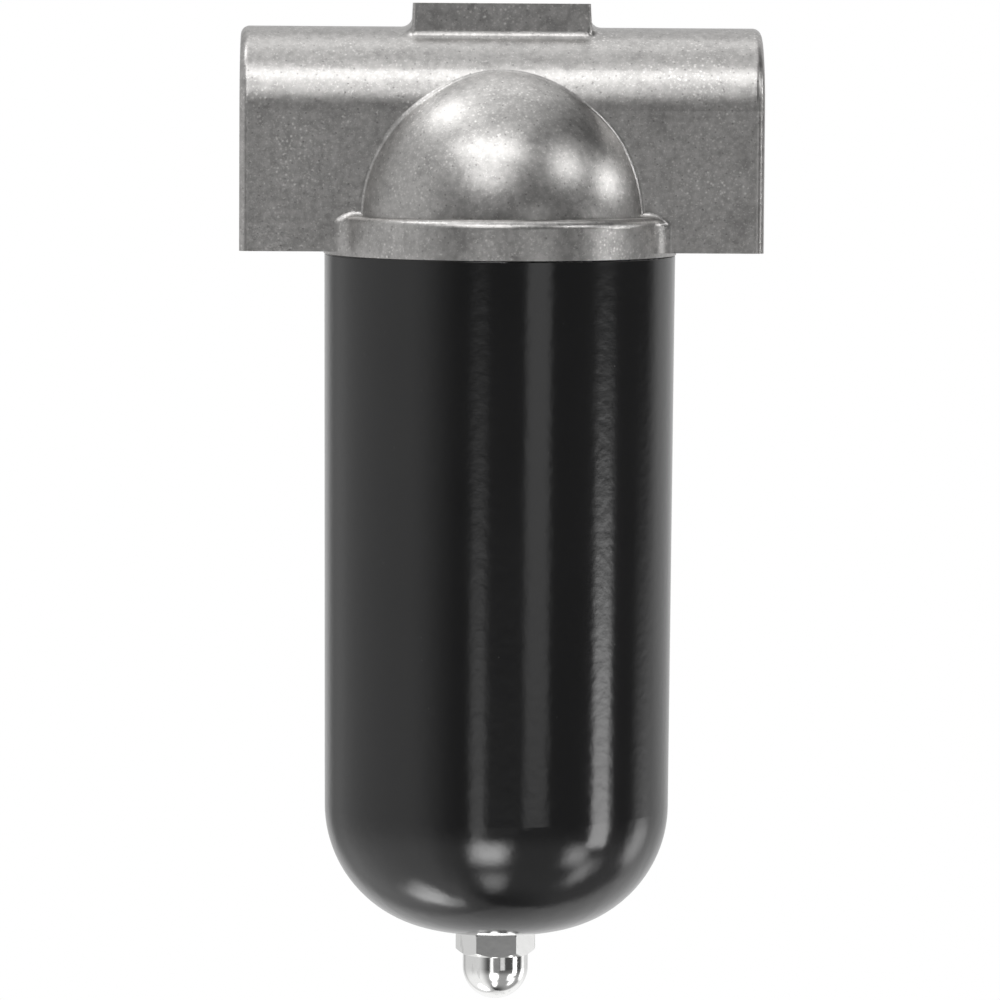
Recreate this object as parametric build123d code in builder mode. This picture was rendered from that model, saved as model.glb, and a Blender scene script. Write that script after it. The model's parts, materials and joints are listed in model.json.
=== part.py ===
"""Compressed air filter with 1/2 in pipe ports: a die-cast head, a drawn steel bowl that a tie rod and a
cap nut hold up against it, and a pleated cartridge that a spring pushes up against the head.

Frame: +Z up, origin at the centre of the mounting pad's top face, ports along X, flat sides towards -Y and
+Y. Millimetres. Air enters at -X, goes down round the cartridge, inwards through it, and up and out at +X.
"""

from build123d import *

import os
from math import atan2, cos, degrees, hypot, pi, radians, sin, sqrt, tan

INCH = 25.4

# Head casting, outside
HEAD_LENGTH = 118.4
BOSS_R = 18.5  # half-round top of the block, which is the wall of both ports
PAD_LENGTH, PAD_DEPTH, PAD_HEIGHT = 40.2, 16.4, 5.4
PAD_DRAFT, PAD_CORNER_R, PAD_ROOT, PAD_FILLET = 3.0, 0.8, 4.0, 2.4
PORT_Z = -PAD_HEIGHT - BOSS_R
DOME_R, DOME_WALL = 36.6, 4.0
DOME_Z = -47.9  # centre of the dome, level with the top of the collar
COLLAR_R, COLLAR_ROUNDING, COLLAR_BOTTOM_Z = 40.25, 2.0, -56.9
COLLAR_SWEEP_R, COLLAR_SWEEP_INSET = 7.5, 0.3  # in plan, where the collar runs out into the block's long faces
BLOCK_BOTTOM_Z = -55.9
END_ROUNDING = 2.0
CAST_FILLET = 1.2  # where the dome and the collar's ledge grow out of the block

# Threaded holes of the head, cut to their major radius
PORT_R, PORT_DEPTH, PORT_CHAMFER = 10.5, 19.0, 1.0  # 1/2 in pipe
PAD_HOLE_R, PAD_HOLE_SPACING, PAD_HOLE_DEPTH, PAD_HOLE_CHAMFER = INCH / 8, INCH, 10.0, 0.5  # 1/4 in
ROD_HOLE_TOP_Z = -4.4

# Passages and seats inside the head
DUCT_R, DUCT_WALL = 8.5, 3.5
INLET_END_X = 15.5  # the inlet duct stops short of the outlet boss
OUTLET_BOSS_R, OUTLET_BORE_R = 14.0, 9.2
SEAT_Z, SEAT_R, SEAT_THICKNESS = -60.0, 17.5, 3.0  # the face that the cartridge seals on
PILOT_R, PILOT_BOTTOM_Z = 12.0, -68.0  # enters the cartridge
SPIGOT_R, SPIGOT_BORE_R, SPIGOT_BOTTOM_Z, SPIGOT_CHAMFER = 37.9, 33.5, -66.9, 0.8  # enters the bowl
GROOVE_Z, GROOVE_WIDTH, GROOVE_R = -62.6, 3.4, 35.6
DEFLECTOR_TOP_Z = -58.0
POCKET_LOW_X, POCKET_WALL, POCKET_RIB, POCKET_DEPTH = 43.6, 4.0, 3.5, 16.1
POCKET_DRAFT, POCKET_CORNER_R = 1.5, 2.5

# Bowl
RIM_R, LOW_R, LOW_Z, BOWL_WALL = 40.05, 39.5, -182.6, 1.8  # the drawn side tapers a little
KNUCKLE_R, CROWN_R, CROWN_POLE_Z = 28.75, 80.5, -213.4
CROWN_Z = CROWN_POLE_Z + CROWN_R
BOWL_FLAT_Z = -212.85  # flat spot that the cap nut pulls against
BOWL_HOLE_R, RIM_ROUNDING = 5.1, 0.4
PLATE_WELDED_R, PLATE_WELDED_TOP_Z = 13.5, -208.6  # disc welded inside the crown

# Tie rod and cap nut, 3/8 in thread, 16 to the inch
ROD_R, ROD_END_Z, ROD_CHAMFER = 3 / 16 * INCH, -222.4, 0.9
NUT_FLATS, NUT_HEX_HEIGHT, NUT_NECK_HEIGHT, NUT_DOME_R = 5 / 8 * INCH, 5.4, 2.95, 7.5
NUT_FACE_R, NUT_SEAT_R, NUT_CORNER_ANGLE = 7.7, 8.6, 35.0
NUT_BORE_DEPTH, NUT_DRILL_POINT = 11.0, 2.2
WASHER_R, WASHER_INNER_R, WASHER_HEIGHT, WASHER_RECESS_R = 6.8, 5.1, 1.0, 7.1

# Cartridge
GASKET_HEIGHT, GASKET_R, GASKET_INNER_R = 3.0, 17.4, 12.6
CARTRIDGE_TOP_Z, CARTRIDGE_HEIGHT = SEAT_Z - GASKET_HEIGHT, 104.0
CARTRIDGE_BOTTOM_Z = CARTRIDGE_TOP_Z - CARTRIDGE_HEIGHT
CAP_R, CAP_SHEET, CAP_LIP, CAP_OUTLET_R = 28.6, 1.0, 5.0, 12.5
CORE_R, CORE_SHEET, CORE_HOLE_R, CORE_ROWS, CORE_DRILLINGS = 13.6, 0.8, 2.4, 9, 3
MEDIA_INNER_R, MEDIA_OUTER_R, MEDIA_SHEET, PLEATS = 14.6, 26.4, 0.45, 44
SLEEVE_R, SLEEVE_SHEET = 27.5, 0.7
GROMMET_R, GROMMET_WAIST_R, GROMMET_LIP = 9.0, 7.6, 2.0

# Under the cartridge
LOWER_GASKET_R, LOWER_GASKET_INNER_R, LOWER_GASKET_HEIGHT = 18.0, 12.0, GROMMET_LIP
PLATE_R, PLATE_SHEET, PLATE_LIP = 31.0, 1.2, 4.0
PLATE_SLOTS, PLATE_SLOT_WIDTH, PLATE_SLOT_DEPTH = 12, 4.0, 6.0
FOLLOWER_R, FOLLOWER_SHEET, HUB_R, FOLLOWER_HUB = 16.0, 1.5, 7.4, 6.0
SPRING_R, SPRING_WIRE_R, SPRING_TURNS, SPRING_END_GAP = 9.6, 0.9, 6, 0.3
SPRING_SEAT_R, SPRING_SEAT_SHEET, SPRING_SEAT_HUB = 12.5, 2.2, 3.0

# Swirl deflector
DEFLECTOR_R, DEFLECTOR_INNER_R, DEFLECTOR_SHEET, DEFLECTOR_HEIGHT = 33.4, 29.2, 0.8, 7.0
VANES, VANE_SHEET, VANE_ANGLE, VANE_MARGIN = 16, 0.9, 40.0, 0.4

# Fits
RUNNING_FIT = 0.05  # radial play of the nut's thread
ROD_PASS_R = 5.25  # holes that the tie rod passes through with room to spare
O_RING_GAP = 0.1
NEAR = 0.02

os.makedirs("parts", exist_ok=True)


def ring(outer_r, inner_r, top_z, bottom_z):
    """Adds a disc with a hole, on the Z axis, to the piece that is being built."""
    with BuildSketch(Plane.XY.offset(bottom_z)) as section:
        Circle(outer_r)
        Circle(inner_r, mode=Mode.SUBTRACT)
    extrude(section.sketch, amount=top_z - bottom_z)


def turned(*outline, mode=Mode.ADD):
    """Adds or cuts what an outline of (radius, z) points sweeps round the Z axis."""
    with BuildSketch(Plane.XZ) as section:
        with BuildLine():
            Polyline(*outline, close=True)
        make_face()
    revolve(section.sketch, axis=Axis.Z, mode=mode)


def finish(piece, label):
    """Names a finished piece and writes its STEP file."""
    piece.part.label = label
    export_step(piece.part, f"parts/{label}.step")


# ------------------------------------------------------------------------------------------- head

with BuildPart() as filter_head:
    # Collar as it is cast, with a rounded ledge
    with BuildSketch(Plane.XY.offset(BLOCK_BOTTOM_Z)) as collar_plan:
        Circle(COLLAR_R)
        Rectangle(2 * (COLLAR_R + COLLAR_SWEEP_R), 2 * (BOSS_R - COLLAR_SWEEP_INSET))
        fillet(collar_plan.vertices().filter_by(lambda vertex: abs(vertex.X) < COLLAR_R), COLLAR_SWEEP_R)
    extrude(amount=DOME_Z - BLOCK_BOTTOM_Z)
    fillet(filter_head.faces().sort_by(Axis.Z)[-1].edges(), COLLAR_ROUNDING)

    # Block with a half-round top. Its ends are rounded over, but not at the machined underside.
    with BuildSketch(Plane.YZ):
        with Locations((0, PORT_Z)):
            Circle(BOSS_R)
            Rectangle(2 * BOSS_R, PORT_Z - BLOCK_BOTTOM_Z, align=(Align.CENTER, Align.MAX))
    extrude(amount=HEAD_LENGTH / 2, both=True)
    end_edges = filter_head.faces().filter_by(Axis.X).edges()
    fillet(end_edges.filter_by(lambda edge: edge.center().Z > BLOCK_BOTTOM_Z + NEAR), END_ROUNDING)

    # Dome, and the collar's turned rim below the block
    with BuildSketch(Plane.XZ):
        with BuildLine():
            Polyline(
                (0, DOME_Z + DOME_R),
                (0, COLLAR_BOTTOM_Z),
                (COLLAR_R, COLLAR_BOTTOM_Z),
                (COLLAR_R, BLOCK_BOTTOM_Z),
                (DOME_R, DOME_Z),
            )
            RadiusArc((DOME_R, DOME_Z), (0, DOME_Z + DOME_R), -DOME_R)
        make_face()
    revolve(axis=Axis.Z)
    dome_roots = filter_head.new_edges.filter_by(lambda edge: edge.center().Z > DOME_Z)
    level_lines = filter_head.edges().filter_by(GeomType.LINE).filter_by(Axis.X)
    ledge_roots = level_lines.filter_by(lambda edge: abs(edge.center().Z - DOME_Z) < NEAR)
    fillet(dome_roots + ledge_roots, CAST_FILLET)

    # Mounting pad, tapered, with its roots blended into the half-round top
    with BuildSketch(Plane.XY):
        RectangleRounded(PAD_LENGTH, PAD_DEPTH, PAD_CORNER_R)
    extrude(amount=PAD_HEIGHT + PAD_ROOT, dir=(0, 0, -1), taper=-PAD_DRAFT)
    fillet(filter_head.new_edges, PAD_FILLET)

    # Spigot with its O-ring groove
    turned(
        (0, COLLAR_BOTTOM_Z + NEAR),
        (SPIGOT_R, COLLAR_BOTTOM_Z + NEAR),
        (SPIGOT_R, GROOVE_Z + GROOVE_WIDTH / 2),
        (GROOVE_R, GROOVE_Z + GROOVE_WIDTH / 2),
        (GROOVE_R, GROOVE_Z - GROOVE_WIDTH / 2),
        (SPIGOT_R, GROOVE_Z - GROOVE_WIDTH / 2),
        (SPIGOT_R, SPIGOT_BOTTOM_Z + SPIGOT_CHAMFER),
        (SPIGOT_R - SPIGOT_CHAMFER, SPIGOT_BOTTOM_Z),
        (0, SPIGOT_BOTTOM_Z),
    )

    # Chamber inside the dome, and the wider bore that takes the deflector
    chamber_r = DOME_R - DOME_WALL
    with BuildSketch(Plane.XZ):
        with BuildLine():
            RadiusArc((chamber_r, DOME_Z), (0, DOME_Z + chamber_r), -chamber_r)
            Polyline(
                (0, DOME_Z + chamber_r),
                (0, SPIGOT_BOTTOM_Z),
                (SPIGOT_BORE_R, SPIGOT_BOTTOM_Z),
                (SPIGOT_BORE_R, DEFLECTOR_TOP_Z),
                (chamber_r, DEFLECTOR_TOP_Z),
                (chamber_r, DOME_Z),
            )
        make_face()
    revolve(axis=Axis.Z, mode=Mode.SUBTRACT)

    # Outlet boss with the cartridge's seat and pilot, and the wall of the outlet duct
    roof_z = DOME_Z + chamber_r + NEAR
    ring(OUTLET_BOSS_R, OUTLET_BORE_R - NEAR, roof_z, SEAT_Z)
    ring(SEAT_R, OUTLET_BORE_R - NEAR, SEAT_Z + SEAT_THICKNESS, SEAT_Z)
    ring(PILOT_R, OUTLET_BORE_R - NEAR, SEAT_Z, PILOT_BOTTOM_Z)
    with BuildSketch(Plane.YZ):
        with Locations((0, PORT_Z)):
            Circle(DUCT_R + DUCT_WALL)
    extrude(amount=chamber_r)

    # Ports and ducts along X, and the bores on Z
    with BuildSketch(Plane.XZ):
        for side, duct_end in ((-1, INLET_END_X), (1, 0)):
            mouth = side * HEAD_LENGTH / 2
            with BuildLine():
                Polyline(
                    (side * duct_end, PORT_Z),
                    (side * duct_end, PORT_Z + DUCT_R),
                    (mouth - side * PORT_DEPTH, PORT_Z + DUCT_R),
                    (mouth - side * PORT_DEPTH, PORT_Z + PORT_R),
                    (mouth - side * PORT_CHAMFER, PORT_Z + PORT_R),
                    (mouth, PORT_Z + PORT_R + PORT_CHAMFER),
                    (mouth, PORT_Z),
                    close=True,
                )
            make_face()
    revolve(axis=Axis((0, 0, PORT_Z), (1, 0, 0)), mode=Mode.SUBTRACT)
    with BuildSketch(Plane.XY.offset(PILOT_BOTTOM_Z)):
        Circle(OUTLET_BORE_R)
    extrude(amount=PORT_Z + DUCT_R - PILOT_BOTTOM_Z, mode=Mode.SUBTRACT)
    with BuildSketch(Plane.XY.offset(PORT_Z)):
        Circle(ROD_R)
    extrude(amount=ROD_HOLE_TOP_Z - PORT_Z, mode=Mode.SUBTRACT)

    # Threaded holes of the pad
    with GridLocations(PAD_HOLE_SPACING, 0, 2, 1):
        CounterSinkHole(PAD_HOLE_R, PAD_HOLE_R + PAD_HOLE_CHAMFER, PAD_HOLE_DEPTH, counter_sink_angle=90)

    # Cored pockets under both ends of the block, each pair with a rib between
    pocket_length = HEAD_LENGTH / 2 - POCKET_WALL - POCKET_LOW_X
    pocket_depth = BOSS_R - POCKET_WALL - POCKET_RIB / 2
    with BuildSketch(Plane.XY.offset(BLOCK_BOTTOM_Z)):
        with GridLocations(2 * POCKET_LOW_X + pocket_length, POCKET_RIB + pocket_depth, 2, 2):
            RectangleRounded(pocket_length, pocket_depth, POCKET_CORNER_R)
    extrude(amount=POCKET_DEPTH, taper=POCKET_DRAFT, mode=Mode.SUBTRACT)
finish(filter_head, "filter_head")

with BuildPart() as tie_rod:
    turned(
        (0, ROD_HOLE_TOP_Z),
        (ROD_R - ROD_CHAMFER, ROD_HOLE_TOP_Z),
        (ROD_R, ROD_HOLE_TOP_Z - ROD_CHAMFER),
        (ROD_R, ROD_END_Z + ROD_CHAMFER),
        (ROD_R - ROD_CHAMFER, ROD_END_Z),
        (0, ROD_END_Z),
    )
finish(tie_rod, "tie_rod")

# The O-ring is drawn squeezed between the groove and the bowl's wall
with BuildPart() as bowl_o_ring:
    o_ring_outer_r = RIM_R - BOWL_WALL - O_RING_GAP
    with BuildSketch(Plane.XZ):
        with Locations(((GROOVE_R + o_ring_outer_r) / 2, GROOVE_Z)):
            Ellipse((o_ring_outer_r - GROOVE_R) / 2, GROOVE_WIDTH / 2 - O_RING_GAP)
    revolve(axis=Axis.Z)
finish(bowl_o_ring, "bowl_o_ring")

# Two hoops with slanted vanes between them, which set the air spinning down the bowl
with BuildPart() as swirl_deflector:
    ring(DEFLECTOR_R, DEFLECTOR_R - DEFLECTOR_SHEET, DEFLECTOR_TOP_Z, DEFLECTOR_TOP_Z - DEFLECTOR_HEIGHT)
    inner_hoop_r = DEFLECTOR_INNER_R + DEFLECTOR_SHEET
    ring(inner_hoop_r, DEFLECTOR_INNER_R, DEFLECTOR_TOP_Z, DEFLECTOR_TOP_Z - DEFLECTOR_HEIGHT)
    vane_length = DEFLECTOR_R - DEFLECTOR_INNER_R - 2 * VANE_MARGIN
    vane_width = (DEFLECTOR_HEIGHT - 2 * VANE_MARGIN) / cos(radians(VANE_ANGLE)) - VANE_SHEET
    with Locations((0, 0, DEFLECTOR_TOP_Z - DEFLECTOR_HEIGHT / 2)):
        with PolarLocations((DEFLECTOR_R + DEFLECTOR_INNER_R) / 2, VANES):
            Box(vane_length, VANE_SHEET, vane_width, rotation=(VANE_ANGLE, 0, 0))
finish(swirl_deflector, "swirl_deflector")

# -------------------------------------------------------------------------------------- cartridge

media_top_z = CARTRIDGE_TOP_Z - CAP_SHEET
media_bottom_z = CARTRIDGE_BOTTOM_Z + CAP_SHEET

with BuildPart() as element_top_gasket:
    ring(GASKET_R, GASKET_INNER_R, SEAT_Z, CARTRIDGE_TOP_Z)
finish(element_top_gasket, "element_top_gasket")


def end_cap(hole_r, face_z, inwards):
    """Adds a pressed end cap with its rim towards the cartridge; inwards is -1 on top and 1 below."""
    turned(
        (hole_r, face_z),
        (CAP_R - CAP_SHEET / 2, face_z),
        (CAP_R, face_z + inwards * CAP_SHEET / 2),
        (CAP_R, face_z + inwards * CAP_LIP),
        (CAP_R - CAP_SHEET, face_z + inwards * CAP_LIP),
        (CAP_R - CAP_SHEET, face_z + inwards * CAP_SHEET),
        (hole_r, face_z + inwards * CAP_SHEET),
    )


with BuildPart() as element_top_cap:
    end_cap(CAP_OUTLET_R, CARTRIDGE_TOP_Z, -1)
finish(element_top_cap, "element_top_cap")

with BuildPart() as element_bottom_cap:
    end_cap(GROMMET_WAIST_R, CARTRIDGE_BOTTOM_Z, 1)
finish(element_bottom_cap, "element_bottom_cap")

with BuildPart() as element_core:
    ring(CORE_R, CORE_R - CORE_SHEET, media_top_z, media_bottom_z)
    row_pitch = (media_top_z - media_bottom_z) / CORE_ROWS
    drilling_step = 180 / CORE_DRILLINGS
    for row in range(CORE_ROWS):
        with Locations((0, 0, media_top_z - (row + 0.5) * row_pitch)):
            for drilling in range(CORE_DRILLINGS):
                turn = (drilling + row % 2 / 2) * drilling_step
                Cylinder(CORE_HOLE_R, 2 * CORE_R + 2, rotation=(90, 0, turn), mode=Mode.SUBTRACT)
finish(element_core, "element_core")

# One sheet of paper folded to and fro between the core and the sleeve
with BuildPart() as element_media:
    outer_fold = MEDIA_OUTER_R - MEDIA_SHEET / 2
    inner_fold = MEDIA_INNER_R + MEDIA_SHEET / 2
    leg_x = outer_fold - inner_fold * cos(pi / PLEATS)
    leg_y = inner_fold * sin(pi / PLEATS)
    leg_turn = degrees(atan2(leg_y, leg_x))
    with BuildSketch(Plane.XY.offset(media_bottom_z)):
        with PolarLocations(0, PLEATS):
            for side in (-1, 1):
                with Locations((outer_fold - leg_x / 2, side * leg_y / 2)):
                    SlotCenterToCenter(hypot(leg_x, leg_y), MEDIA_SHEET, rotation=-side * leg_turn)
    extrude(amount=media_top_z - media_bottom_z)
finish(element_media, "element_media")

with BuildPart() as element_sleeve:
    ring(SLEEVE_R, SLEEVE_R - SLEEVE_SHEET, media_top_z, media_bottom_z)
finish(element_sleeve, "element_sleeve")

# Rubber grommet that grips the bottom cap's hole and slides on the tie rod
with BuildPart() as rod_grommet:
    ring(GROMMET_R, ROD_PASS_R, media_bottom_z + GROMMET_LIP, media_bottom_z)
    ring(GROMMET_WAIST_R, ROD_PASS_R, media_bottom_z, CARTRIDGE_BOTTOM_Z)
    ring(GROMMET_R, ROD_PASS_R, CARTRIDGE_BOTTOM_Z, CARTRIDGE_BOTTOM_Z - GROMMET_LIP)
finish(rod_grommet, "rod_grommet")

# ---------------------------------------------------------------------------- under the cartridge

plate_top_z = CARTRIDGE_BOTTOM_Z - LOWER_GASKET_HEIGHT
follower_top_z = plate_top_z - PLATE_SHEET
spring_top_z = follower_top_z - FOLLOWER_SHEET
spring_bottom_z = PLATE_WELDED_TOP_Z + SPRING_SEAT_SHEET

with BuildPart() as element_bottom_gasket:
    ring(LOWER_GASKET_R, LOWER_GASKET_INNER_R, CARTRIDGE_BOTTOM_Z, plate_top_z)
finish(element_bottom_gasket, "element_bottom_gasket")

# Baffle that keeps the air from stirring up the water in the sump
with BuildPart() as quiet_zone_plate:
    ring(PLATE_R, ROD_PASS_R, plate_top_z, follower_top_z)
    ring(PLATE_R, PLATE_R - PLATE_SHEET, follower_top_z, plate_top_z - PLATE_LIP)
    with Locations((0, 0, plate_top_z)):
        with PolarLocations(PLATE_R, PLATE_SLOTS):
            Box(2 * PLATE_SLOT_DEPTH, PLATE_SLOT_WIDTH, 2 * PLATE_SHEET + NEAR, mode=Mode.SUBTRACT)
finish(quiet_zone_plate, "quiet_zone_plate")

with BuildPart() as spring_follower:
    ring(FOLLOWER_R, ROD_PASS_R, follower_top_z, spring_top_z)
    ring(HUB_R, ROD_PASS_R, spring_top_z, spring_top_z - FOLLOWER_HUB)
finish(spring_follower, "spring_follower")

with BuildPart() as element_spring:
    wire_bottom_z = spring_bottom_z + SPRING_WIRE_R + SPRING_END_GAP
    wire_height = spring_top_z - SPRING_WIRE_R - SPRING_END_GAP - wire_bottom_z
    with BuildLine() as wire:
        Helix(wire_height / SPRING_TURNS, wire_height, SPRING_R, center=(0, 0, wire_bottom_z))
    with BuildSketch(Plane(wire.line @ 0, z_dir=wire.line % 0)):
        Circle(SPRING_WIRE_R)
    sweep(is_frenet=True)
finish(element_spring, "element_spring")

with BuildPart() as spring_seat:
    ring(SPRING_SEAT_R, ROD_PASS_R, spring_bottom_z, PLATE_WELDED_TOP_Z)
    ring(HUB_R, ROD_PASS_R, spring_bottom_z + SPRING_SEAT_HUB, spring_bottom_z)
finish(spring_seat, "spring_seat")

# ------------------------------------------------------------------------------------------- bowl


def crown_z(r, inset):
    """Height of the crown's surface at radius r, on its outside or inset from it by the wall."""
    return CROWN_Z - sqrt((CROWN_R - inset) ** 2 - r**2)


def bowl_section(inset):
    """Half section of the bowl's outside, or of its inside when inset by the wall."""
    side_slope = (RIM_R - LOW_R) / (COLLAR_BOTTOM_Z - LOW_Z)
    corner_r = LOW_R - inset
    for _ in range(4):
        corner_r = RIM_R - inset - side_slope * (COLLAR_BOTTOM_Z - crown_z(corner_r, inset))
    flat_z = BOWL_FLAT_Z + inset
    flat_r = sqrt((CROWN_R - inset) ** 2 - (CROWN_Z - flat_z) ** 2)
    with BuildSketch(Plane.XZ) as section:
        with BuildLine():
            corner = (corner_r, crown_z(corner_r, inset))
            Polyline(
                (flat_r, flat_z),
                (0, flat_z),
                (0, COLLAR_BOTTOM_Z),
                (RIM_R - inset, COLLAR_BOTTOM_Z),
                corner,
            )
            RadiusArc(corner, (flat_r, flat_z), CROWN_R - inset)
        make_face()
        knuckle = section.vertices().filter_by(lambda vertex: vertex.Y < LOW_Z and vertex.X > flat_r + NEAR)
        fillet(knuckle, KNUCKLE_R - inset)
    return section.sketch


with BuildPart() as bowl:
    revolve(bowl_section(0), axis=Axis.Z)
    revolve(bowl_section(BOWL_WALL), axis=Axis.Z, mode=Mode.SUBTRACT)
    with Locations((0, 0, BOWL_FLAT_Z)):
        Cylinder(BOWL_HOLE_R, 3 * BOWL_WALL, mode=Mode.SUBTRACT)
    fillet(bowl.faces().sort_by(Axis.Z)[-1].edges(), RIM_ROUNDING)
finish(bowl, "bowl")

with BuildPart() as bowl_reinforcing_plate:
    inner_flat_z = BOWL_FLAT_Z + BOWL_WALL
    inner_flat_r = sqrt((CROWN_R - BOWL_WALL) ** 2 - (CROWN_Z - inner_flat_z) ** 2)
    edge = (PLATE_WELDED_R, crown_z(PLATE_WELDED_R, BOWL_WALL))
    with BuildSketch(Plane.XZ):
        with BuildLine():
            Polyline(
                edge,
                (PLATE_WELDED_R, PLATE_WELDED_TOP_Z),
                (BOWL_HOLE_R, PLATE_WELDED_TOP_Z),
                (BOWL_HOLE_R, inner_flat_z),
                (inner_flat_r, inner_flat_z),
            )
            RadiusArc(edge, (inner_flat_r, inner_flat_z), CROWN_R - BOWL_WALL)
        make_face()
    revolve(axis=Axis.Z)
finish(bowl_reinforcing_plate, "bowl_reinforcing_plate")

with BuildPart() as sealing_washer:
    ring(WASHER_R, WASHER_INNER_R, BOWL_FLAT_Z, BOWL_FLAT_Z - WASHER_HEIGHT)
finish(sealing_washer, "sealing_washer")

with BuildPart() as cap_nut:
    hex_bottom_z = BOWL_FLAT_Z - NUT_HEX_HEIGHT
    dome_z = hex_bottom_z - NUT_NECK_HEIGHT
    # Hexagon with a flat towards -Y and its corners turned off at both faces
    with BuildSketch(Plane.XY.offset(hex_bottom_z)):
        RegularPolygon(NUT_FLATS / 2, 6, major_radius=False)
    extrude(amount=NUT_HEX_HEIGHT)
    corner_r = NUT_FLATS / sqrt(3)
    corner_slope = tan(radians(NUT_CORNER_ANGLE))
    turned(
        (0, BOWL_FLAT_Z),
        (NUT_SEAT_R, BOWL_FLAT_Z),
        (corner_r, BOWL_FLAT_Z - (corner_r - NUT_SEAT_R) * corner_slope),
        (corner_r, hex_bottom_z + (corner_r - NUT_FACE_R) * corner_slope),
        (NUT_FACE_R, hex_bottom_z),
        (0, hex_bottom_z),
        mode=Mode.INTERSECT,
    )
    with BuildSketch(Plane.XZ):
        with BuildLine():
            Polyline(
                (0, dome_z - NUT_DOME_R),
                (0, hex_bottom_z),
                (NUT_DOME_R, hex_bottom_z),
                (NUT_DOME_R, dome_z),
            )
            RadiusArc((NUT_DOME_R, dome_z), (0, dome_z - NUT_DOME_R), NUT_DOME_R)
        make_face()
    revolve(axis=Axis.Z)
    # Blind threaded bore, cut to its major radius, and the recess for the washer
    bore_r = ROD_R + RUNNING_FIT
    turned(
        (0, BOWL_FLAT_Z),
        (WASHER_RECESS_R, BOWL_FLAT_Z),
        (WASHER_RECESS_R, BOWL_FLAT_Z - WASHER_HEIGHT),
        (bore_r, BOWL_FLAT_Z - WASHER_HEIGHT),
        (bore_r, BOWL_FLAT_Z - NUT_BORE_DEPTH),
        (0, BOWL_FLAT_Z - NUT_BORE_DEPTH - NUT_DRILL_POINT),
        mode=Mode.SUBTRACT,
    )
finish(cap_nut, "cap_nut")
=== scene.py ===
"""Compressed air filter: its threads, perforated sleeve and spring, and the finish of every part."""

import json
import math

import bmesh
import bpy
from mathutils import Matrix, Quaternion, Vector


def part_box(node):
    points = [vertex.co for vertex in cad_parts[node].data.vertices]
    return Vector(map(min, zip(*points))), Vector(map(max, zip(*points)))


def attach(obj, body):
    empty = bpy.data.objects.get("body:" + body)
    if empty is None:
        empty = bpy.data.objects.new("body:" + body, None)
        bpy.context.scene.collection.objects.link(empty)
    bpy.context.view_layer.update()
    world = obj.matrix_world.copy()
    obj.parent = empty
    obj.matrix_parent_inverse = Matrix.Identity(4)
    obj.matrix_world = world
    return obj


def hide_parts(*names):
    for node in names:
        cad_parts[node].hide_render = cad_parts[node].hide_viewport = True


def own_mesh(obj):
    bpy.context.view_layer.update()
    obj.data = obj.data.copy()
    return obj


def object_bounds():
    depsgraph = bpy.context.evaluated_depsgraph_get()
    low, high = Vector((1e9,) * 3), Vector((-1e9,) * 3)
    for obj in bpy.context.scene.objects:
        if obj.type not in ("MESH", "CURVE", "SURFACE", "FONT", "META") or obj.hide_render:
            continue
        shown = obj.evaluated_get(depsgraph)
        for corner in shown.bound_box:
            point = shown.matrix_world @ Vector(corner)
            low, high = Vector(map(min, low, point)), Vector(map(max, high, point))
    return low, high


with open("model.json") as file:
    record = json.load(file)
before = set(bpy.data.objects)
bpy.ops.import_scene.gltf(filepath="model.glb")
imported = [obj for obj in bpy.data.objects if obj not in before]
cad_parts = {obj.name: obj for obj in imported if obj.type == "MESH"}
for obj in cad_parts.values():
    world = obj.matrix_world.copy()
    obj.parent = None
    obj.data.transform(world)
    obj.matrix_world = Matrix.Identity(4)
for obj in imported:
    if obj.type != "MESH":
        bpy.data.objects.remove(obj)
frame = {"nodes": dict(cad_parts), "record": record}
cad_low, cad_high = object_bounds()

bl_info = {
    "name": "Compressed Air Filter",
    "version": (1, 0, 0),
    "blender": (4, 5, 0),
    "location": "View3D > Sidebar > Air Filter",
    "description": "Threads, perforated sleeve, spring and surface finishes of a compressed air filter",
    "category": "Add Mesh",
}

MM = 0.001
INCH = 25.4 * MM

# --------------------------------------------------------------------------------- places from the frame

NODES = frame["nodes"]


def top(node):
    """Height of a CAD node's highest point."""
    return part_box(node)[1].z


def bottom(node):
    """Height of a CAD node's lowest point."""
    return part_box(node)[0].z


def radius(node):
    """Largest radius of a CAD node that is round about the Z axis."""
    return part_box(node)[1].x


def mount(name):
    """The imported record's mount of that name."""
    return next(m for m in frame["record"]["mounts"] if m["name"] == name)


HEAD_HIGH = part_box("filter_head")[1]
HALF_LENGTH = HEAD_HIGH.x
PORT_Z = mount("outlet_port")["pos_m"][2]
PORT_R = mount("outlet_port")["dims"]["r_mm"] * MM
PORT_LENGTH = mount("outlet_port")["dims"]["length_mm"] * MM
PAD_HOLE_R = mount("pad_holes")["dims"]["hole_r_mm"] * MM
PAD_HOLE_SPACING = mount("pad_holes")["dims"]["spacing_x_mm"] * MM
BOWL_TOP, BOWL_BOTTOM = top("bowl"), bottom("bowl")
COLLAR_BOTTOM = BOWL_TOP
BLOCK_BOTTOM = COLLAR_BOTTOM + 1 * MM  # the collar's turned rim stands 1 mm below the block
SEAT_BOTTOM = top("element_top_gasket")
PAPER_R, SLEEVE_R, ROD_R = radius("element_media"), radius("element_sleeve"), radius("tie_rod")
PORT_DEPTH, PAD_HOLE_DEPTH = PORT_LENGTH + 1 * MM, 10 * MM
SPRING_R = radius("element_spring")
SEAT_HUB, FOLLOWER_HUB = 3 * MM, 6 * MM  # hubs that centre the spring
ROD_CHAMFER = 0.9 * MM
THREAD_HEIGHT = 0.61  # of the pitch
MERGE = 0.002 * MM  # points nearer than this are one point
FACE_REACH = 0.05 * MM  # how far from a machined face's plane its finish reaches
THREAD_GAP = 0.3 * MM  # between a tapped hole's mouth and the end of its thread
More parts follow.
